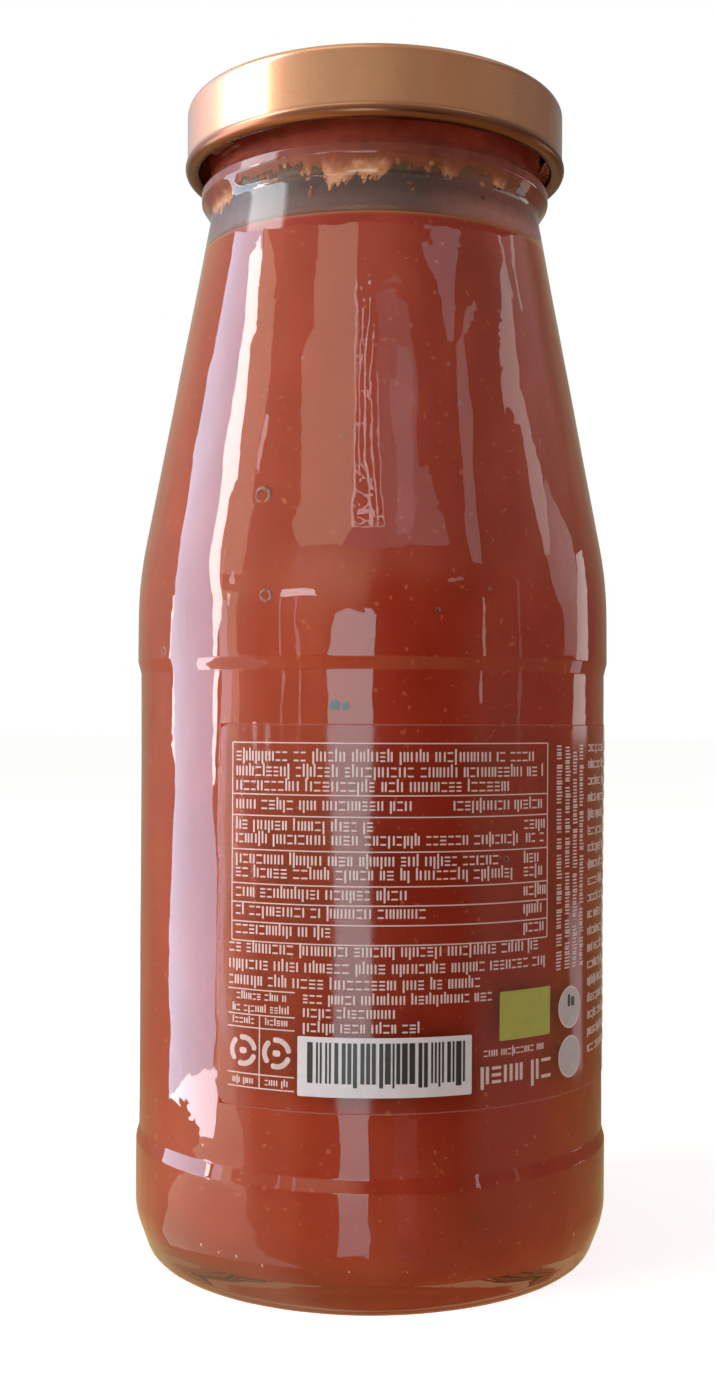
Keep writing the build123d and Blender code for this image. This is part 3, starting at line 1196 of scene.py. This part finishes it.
low_left_wall = [
    (-560, -118, -30), (-430, -118, -38), (-360, -118, -47), (-320, -116, -52), (-290, -112, -58),
    (-262, -106, -60), (-235, -96, -62), (-200, -80, -66), (-150, -78, -67), (0, -77, -66), (250, -77, -66),
]
card("low_left_wall", tan, 3.4, low_left_wall, 995, (2.0, -280, -200))
card("left_light_wall", tan, 3.4, [(330, -79, -66), (600, -80, -64), (745, -81, -66), (775, -84, -80)])
card("left_curtain", (1, 0.98, 1), 5, [(-150, -77, -71), (60, -77, -71), (210, -78, -72)], 990)

# %% Windows in the middle and at the right
middle_window = [(-330, -14, 0), (-150, -17, 1), (100, -18, 0), (150, -16, 1), (172, -12, -2)]
card("middle_window", (0.68, 0.97, 1.0), 4.6, middle_window, foot=(2.4, -330, -100))
upper_window = [
    (480, -34, -14), (515, -37, -11), (599, -41, -10), (621, -38, -10), (642, -39, -11), (663, -42, -10),
    (706, -42.5, -10), (748, -44.5, -9), (770, -41.5, -8), (791, -37.5, -7), (833, -40, -8),
    (980, -40, -14),
]
card("upper_window", tan, 3.0, upper_window)
upper_window_right = [
    (470, -14, 8), (483, -13, 37), (590, -10, 36), (618, 4, 32), (657, 4, 30), (669, 4, 25), (775, 4, 24),
    (827, 3, 19), (850, 0, 4),
]
card("upper_window_right", (0.85, 1.0, 0.95), 1.15, upper_window_right)
card("pale_sash", (0.85, 0.97, 1.0), 1.8, [(548, 12, 19), (600, 12, 22), (700, 12, 22), (780, 11, 20)], 990)
small_pane = [
    (392, 48, 52), (430, 48, 53), (480, 47, 53), (577, 47, 53), (660, 49, 57), (715, 50, 57), (724, 57, 69),
    (745, 58, 68),
]
card("small_pane", grey, 1.5, small_pane)
card("small_note", grey, 1.8, [(292, 36, 42), (303, 35, 43), (316, 37, 43)])
right_wall = [
    (115, 103, 121), (135, 103, 121), (210, 97, 116), (303, 92, 116), (392, 91, 116), (483, 91, 104),
]
card("right_wall", grey, 1.3, right_wall, foot=(0.8, 100, 250))
right_window = [
    (380, 90, 94), (483, 91, 102), (548, 90, 98), (577, 89, 96), (600, 79, 95), (631, 79, 98),
    (657, 89, 97), (700, 90, 98),
]
card("right_window", grey, 2.5, right_window, 985)
high_veil = [(735, 44, 48), (784, 43, 52), (830, 40, 56), (862, 34, 68), (900, 32, 80)]
card("high_veil", (0.95, 0.97, 1.0), 1.5, high_veil)
card("right_edge_pane", grey, 2.2, [(60, 112, 124), (200, 114, 126), (330, 118, 126)], 985)
card("low_right_pane", (0.95, 0.95, 1.0), 1.3, [(-175, 112, 122), (-60, 110, 121)], 985)
card("right_mullion", grey, 2.2, [(630, 98, 101), (700, 96, 99), (760, 92, 95), (830, 82, 86)], 980)
card("right_frame", grey, 2.0, [(600, 107, 109.5), (680, 107.5, 110)], 985)
card("white_note", (1, 1, 1), 9, [(226, -43, -25), (262, -42, -26)])
card("low_gleam", tan, 0.45, [(-345, 11, 21), (-200, 12, 22)])

# %% [markdown]
# Between the windows stand thin bright slits, as gaps and frames give them, and in the middle a ladder of
# short rungs. They break up the broad streaks.

# %% Slits and rungs
# Each slit: its angle, its lower and upper end, its width in degrees and its strength.
slits = (
    (-73.5, 70, 115, 1.4, 16), (-71, 190, 235, 1.3, 8), (-75, 60, 420, 0.8, 5), (-56.3, 38, 70, 1.4, 9),
    (-51, 38, 70, 1.4, 9), (-65, -45, 10, 1.2, 7), (-62.5, 5, 40, 1.2, 7), (-57, -50, -22, 1.2, 7),
    (-62.5, 598, 645, 2.6, 5.5), (-69.5, 280, 340, 1.6, 6), (-43, 60, 225, 1.2, 2.8),
    (-33.5, 60, 225, 1.2, 2.8), (50.5, 90, 225, 1.8, 2.8), (-9.6, 590, 860, 1.1, 5.5),
    (-6.2, 640, 840, 0.9, 4.6), (-2.8, 600, 850, 1.0, 5.5), (0.8, 600, 810, 0.9, 4.6),
    (4.4, 590, 780, 0.8, 3.6), (72, 60, 300, 1.5, 0.9),
)
# Each rung: its height and the angles of its ends.
rungs = (
    (592, -9, 4), (604, -8, -1), (618, -10, 4), (640, -9, 1), (655, -9, -3), (700, -10, -2), (752, -9, 0),
    (798, -10, -3),
)
rung_height = 4
for number, (angle, low, high, wide, strength) in enumerate(slits):
    left, right = angle - wide / 2, angle + wide / 2
    card(f"slit_{number}", grey, strength, [(low, left, right), (high, left, right)], 990)
for number, (height, left, right) in enumerate(rungs):
    card(f"rung_{number}", grey, 5, [(height, left, right), (height + rung_height, left, right)], 985)
print(len(slits), "slits and", len(rungs), "rungs")

# %% [markdown]
# ## The darker room behind the cards
# What lies between the windows is the room: walls, floor and ceiling in warm tones. A closed surround of
# revolution is given a tone at each corner of its mesh, blended between a few bands of height.

# %% Tones of the room
# For each height: the angles and the tones there.
room_tones = {
    700: [
        (-180, (0.5, 0.45, 0.33)), (-135, (0.9, 0.85, 0.65)), (-66, (1.7, 1.4, 1.0)),
        (-45, (1.3, 1.1, 0.75)), (-10, (1.1, 0.95, 0.7)), (20, (0.7, 0.5, 0.35)), (35, (0.5, 0.4, 0.28)),
        (80, (0.5, 0.4, 0.3)), (101, (0.8, 0.75, 0.68)), (118, (0.75, 0.7, 0.62)),
        (130, (0.35, 0.3, 0.22)), (180, (0.5, 0.45, 0.33)),
    ],
    440: [
        (-180, (0.45, 0.4, 0.28)), (-135, (0.7, 0.7, 0.52)), (-66, (1.9, 1.6, 1.1)),
        (-48, (1.7, 1.4, 0.9)), (-39, (1.7, 1.4, 0.9)), (-35, (2.4, 2.1, 1.5)), (-18, (2.3, 2.0, 1.4)),
        (-6, (1.6, 1.4, 0.95)), (6, (0.7, 0.55, 0.35)), (35, (0.4, 0.33, 0.23)), (80, (0.5, 0.4, 0.3)),
        (125, (0.32, 0.28, 0.2)), (180, (0.45, 0.4, 0.28)),
    ],
    300: [
        (-180, (0.4, 0.35, 0.24)), (-135, (0.6, 0.6, 0.45)), (-66, (2.4, 2.1, 1.45)),
        (-48, (1.6, 1.3, 0.8)), (-38, (2.1, 1.8, 1.2)), (-12, (2.1, 1.8, 1.2)), (-5, (1.3, 1.1, 0.7)),
        (-1, (0.35, 0.26, 0.15)), (8, (0.15, 0.12, 0.06)), (40, (0.2, 0.16, 0.1)),
        (80, (0.4, 0.33, 0.25)), (125, (0.28, 0.24, 0.17)), (180, (0.4, 0.35, 0.24)),
    ],
    130: [
        (-180, (0.35, 0.3, 0.2)), (-135, (0.5, 0.5, 0.38)), (-118, (0.9, 0.9, 0.7)),
        (-66, (1.7, 1.5, 1.0)), (-50, (1.1, 0.85, 0.45)), (-22, (1.1, 0.95, 0.5)), (-4, (0.5, 0.4, 0.25)),
        (8, (0.1, 0.08, 0.04)), (38, (0.08, 0.05, 0.03)), (46, (0.3, 0.25, 0.16)),
        (62, (0.4, 0.33, 0.24)), (88, (0.25, 0.2, 0.15)), (130, (0.2, 0.17, 0.12)),
        (180, (0.35, 0.3, 0.2)),
    ],
    -220: [
        (-180, (0.3, 0.22, 0.12)), (-135, (0.5, 0.4, 0.22)), (-115, (0.9, 0.7, 0.4)),
        (-88, (1.8, 1.6, 1.1)), (-62, (1.9, 1.7, 1.2)), (-54, (0.9, 0.7, 0.35)), (-38, (0.9, 0.75, 0.4)),
        (-28, (0.4, 0.28, 0.12)), (4, (0.3, 0.25, 0.14)), (22, (0.06, 0.04, 0.02)),
        (42, (0.08, 0.06, 0.03)), (54, (0.45, 0.4, 0.33)), (82, (0.4, 0.36, 0.3)),
        (100, (0.4, 0.32, 0.13)), (140, (0.2, 0.16, 0.07)), (180, (0.3, 0.22, 0.12)),
    ],
    -420: [
        (-180, (0.6, 0.45, 0.2)), (-120, (1.1, 0.85, 0.45)), (-62, (1.7, 1.4, 0.8)),
        (-30, (1.0, 0.75, 0.32)), (0, (0.8, 0.6, 0.25)), (30, (0.6, 0.45, 0.18)), (90, (0.5, 0.4, 0.16)),
        (180, (0.6, 0.45, 0.2)),
    ],
}


# %% Blending the tones
def tone_at(band, angle):
    """The blended tone of one height band at an angle."""
    for (before, first), (after, second) in zip(band, band[1:]):
        if before <= angle <= after:
            share = (angle - before) / (after - before)
            return [a + (b - a) * share for a, b in zip(first, second)]


def banded_tone(bands, angle, height):
    """The tone at an angle and a height, blended between the bands."""
    levels = sorted(bands)
    height = min(max(height, levels[0]), levels[-1])
    for low, high in zip(levels, levels[1:]):
        if low <= height <= high:
            share = (height - low) / (high - low)
            below, above = tone_at(bands[low], angle), tone_at(bands[high], angle)
            return [a + (b - a) * share for a, b in zip(below, above)]


# %% A surround of revolution
def toned_ring(name, rows, tone_of, columns=180):
    """A glowing surface of revolution, coloured by tone_of(angle, height)."""
    places = [(out, 360 * n / columns, height) for out, height in rows for n in range(columns)]
    faces = []
    for row in range(len(rows) - 1):
        for n in range(columns):
            low, after = row * columns, (n + 1) % columns
            faces.append((low + n, low + after, low + columns + after, low + columns + n))
    mesh = bpy.data.meshes.new(name)
    mesh.from_pydata([at(*place) for place in places], [], faces)
    tone = mesh.color_attributes.new("tone", "FLOAT_COLOR", "POINT")
    for number, (out, angle, height) in enumerate(places):
        tone.data[number].color = (*tone_of((angle + 180) % 360 - 180, height), 1)
    ring = into_scene(name, mesh)
    finish, output = new_finish(name)
    light = add(finish, "Emission", Strength=1.0)
    join(finish, add(finish, "Attribute", attribute_name="tone").outputs["Color"], light.inputs["Color"])
    join(finish, light.outputs[0], output.inputs["Surface"])
    mesh.materials.append(finish)
    only_mirrored(ring)
    print(f"{name}: {len(faces)} faces")
    return ring


room_rows = [(20, -900), (400, -900), (800, -800)]
room_rows += [(1200, height) for height in (-420, -340, -280, -220, -150, *range(-80, 720, 70), 1300, 2200)]
room_rows += [(600, 2400), (20, 2400)]
toned_ring("room", room_rows, lambda angle, height: banded_tone(room_tones, angle, height))

# %% [markdown]
# A satin lid blurs what it mirrors, so the windows that make the glass lively would only make it blotchy.
# A narrow ring close round the lid stands in for them. It is bright at the left, with one sharp end, and
# darkens to the right.

# %% A ring round the lid
lid_tones = [
    (-180, (0.45, 0.45, 0.45)), (-125, (0.5, 0.5, 0.5)), (-100, (0.95, 0.85, 0.9)),
    (-84, (1.45, 1.35, 1.55)), (-71, (2.0, 1.9, 2.2)), (-69.5, (7, 7.4, 7.8)), (-47.5, (7, 7.4, 7.8)),
    (-45.8, (0.8, 0.85, 0.85)),
    (-28, (0.62, 0.62, 0.58)), (-4, (0.45, 0.43, 0.36)), (11, (0.36, 0.33, 0.27)), (27, (0.35, 0.29, 0.22)),
    (45, (0.32, 0.27, 0.22)), (68, (0.2, 0.17, 0.15)), (93, (0.2, 0.16, 0.13)), (140, (0.3, 0.3, 0.3)),
    (180, (0.45, 0.45, 0.45)),
]
lid_ring_rows = [(45, height) for height in (161, 176, 191, 206)]
toned_ring("lid_ring", lid_ring_rows, lambda angle, height: tone_at(lid_tones, angle), 240)

# %% [markdown]
# Light that has crossed the glass of the foot or the neck comes from the table and the room behind. It is
# dark and warm there, so a second surround is set up that only such light meets. Without it the thick
# glass of the foot would gleam white.

# %% What is seen through the glass
beyond_tones = {
    -300: [
        (-180, (0.27, 0.066, 0.03)), (-90, (0.42, 0.14, 0.075)), (0, (0.26, 0.062, 0.03)),
        (90, (0.2, 0.045, 0.02)), (180, (0.27, 0.066, 0.03)),
    ],
    330: [
        (-180, (0.25, 0.08, 0.045)), (-90, (0.4, 0.17, 0.11)), (0, (0.24, 0.08, 0.05)),
        (90, (0.2, 0.06, 0.035)), (180, (0.25, 0.08, 0.045)),
    ],
    520: [
        (-180, (0.24, 0.065, 0.035)), (-125, (0.33, 0.09, 0.042)), (-90, (0.38, 0.16, 0.1)),
        (0, (0.22, 0.1, 0.08)), (90, (0.24, 0.13, 0.1)), (125, (0.2, 0.05, 0.024)),
        (180, (0.24, 0.065, 0.035)),
    ],
    700: [
        (-180, (0.27, 0.066, 0.03)), (-90, (0.36, 0.1, 0.05)), (0, (0.26, 0.062, 0.03)),
        (90, (0.2, 0.045, 0.02)), (180, (0.27, 0.066, 0.03)),
    ],
}


beyond_rows = [(20, -700), (1150, -700)] + [(1150, height) for height in range(-300, 700, 100)]
beyond_rows += [(1150, 2300), (20, 2300)]
beyond = toned_ring("beyond", beyond_rows, lambda angle, height: banded_tone(beyond_tones, angle, height))
beyond.visible_glossy = False
beyond.visible_transmission = True

# %% [markdown]
# ## Light and floor
# One soft lamp at the left front models the sauce, a faint one lifts the right side, and the world fills
# in the rest at a plain level. The lamps are hidden from mirrors, where their squares would show.

# %% Lamps
lamp_distance, lamp_size, aim_height = 1000, 0.5, 80


def lamp(name, angle, height, watts, colour):
    """A square soft lamp that is not mirrored, aimed at the middle of the bottle."""
    data = bpy.data.lights.new(name, "AREA")
    data.size = lamp_size
    data.energy = watts
    data.color = colour
    thing = into_scene(name, data)
    thing.location = at(lamp_distance, angle, height)
    aim = at(0, 0, aim_height) - thing.location
    thing.rotation_euler = aim.to_track_quat("-Z", "Y").to_euler()
    thing.visible_glossy = False
    thing.visible_camera = False
    thing.visible_transmission = False
    print(f"{name} lamp: {watts} W")


lamp("key", -66, 280, 7.5, (1, 0.98, 0.96))
lamp("side", 100, 250, 0.9, (1, 0.97, 0.94))

# %% [markdown]
# The world is white where the eye, a mirror or clear glass looks at it, and a weaker warm white where it
# lights the bottle, so a white background doesn't wash out the colours.

# %% World
world = bpy.data.worlds.new("studio")
bpy.context.scene.world = world
world.use_nodes = True
world.node_tree.nodes.clear()
backdrop = add(world, "Background", Color=(1, 1, 1, 1))
fill = add(world, "Background", Color=(1, 0.97, 0.95, 1), Strength=0.33)
rays = add(world, "LightPath").outputs
looks = rays["Is Camera Ray"]
for kind_of_ray in ("Is Glossy Ray", "Is Transmission Ray"):
    either = add(world, "Math", operation="MAXIMUM")
    join(world, looks, either.inputs[0])
    join(world, rays[kind_of_ray], either.inputs[1])
    looks = either.outputs[0]
sky_or_fill = mixed(world, looks, fill.outputs[0], backdrop.outputs[0])
join(world, sky_or_fill, add(world, "OutputWorld").inputs["Surface"])
print("world fill:", round(fill.inputs["Strength"].default_value, 2))

# %% [markdown]
# The floor is a matt white sheet that keeps the bottle's soft shadow. To the eye it glows a little, just
# enough to reach white where nothing shades it.
# Light that bounces up from it is warm, and through the foot of the glass it looks as red as the sauce
# above it.

# %% Floor
floor_finish, output = new_finish("floor")
sheet = add(floor_finish, "BsdfDiffuse", Color=(0.8, 0.8, 0.8, 1))
lift = add(floor_finish, "Emission", Color=(1, 1, 1, 1), Strength=0.72)
white = add(floor_finish, "AddShader")
join(floor_finish, sheet.outputs[0], white.inputs[0])
join(floor_finish, lift.outputs[0], white.inputs[1])
bounce = add(floor_finish, "Emission", Color=(0.85, 0.66, 0.5, 1), Strength=0.62)
through = add(floor_finish, "Emission", Color=(0.34, 0.095, 0.045, 1), Strength=1.0)
rays = add(floor_finish, "LightPath").outputs
not_eye = mixed(floor_finish, rays["Is Transmission Ray"], bounce.outputs[0], through.outputs[0])
seen = mixed(floor_finish, rays["Is Camera Ray"], not_eye, white.outputs[0])
join(floor_finish, seen, output.inputs["Surface"])
floor_finish.cycles.emission_sampling = "NONE"

# %% The floor's sheet
half_floor = 6
corners = [(-1, -1, 0), (1, -1, 0), (1, 1, 0), (-1, 1, 0)]
floor_mesh = bpy.data.meshes.new("floor")
floor_mesh.from_pydata([half_floor * Vector(corner) for corner in corners], [], [(0, 1, 2, 3)])
floor = into_scene("floor", floor_mesh)
floor.visible_glossy = False
floor_mesh.materials.append(floor_finish)
print(f"floor {2 * half_floor} m wide")
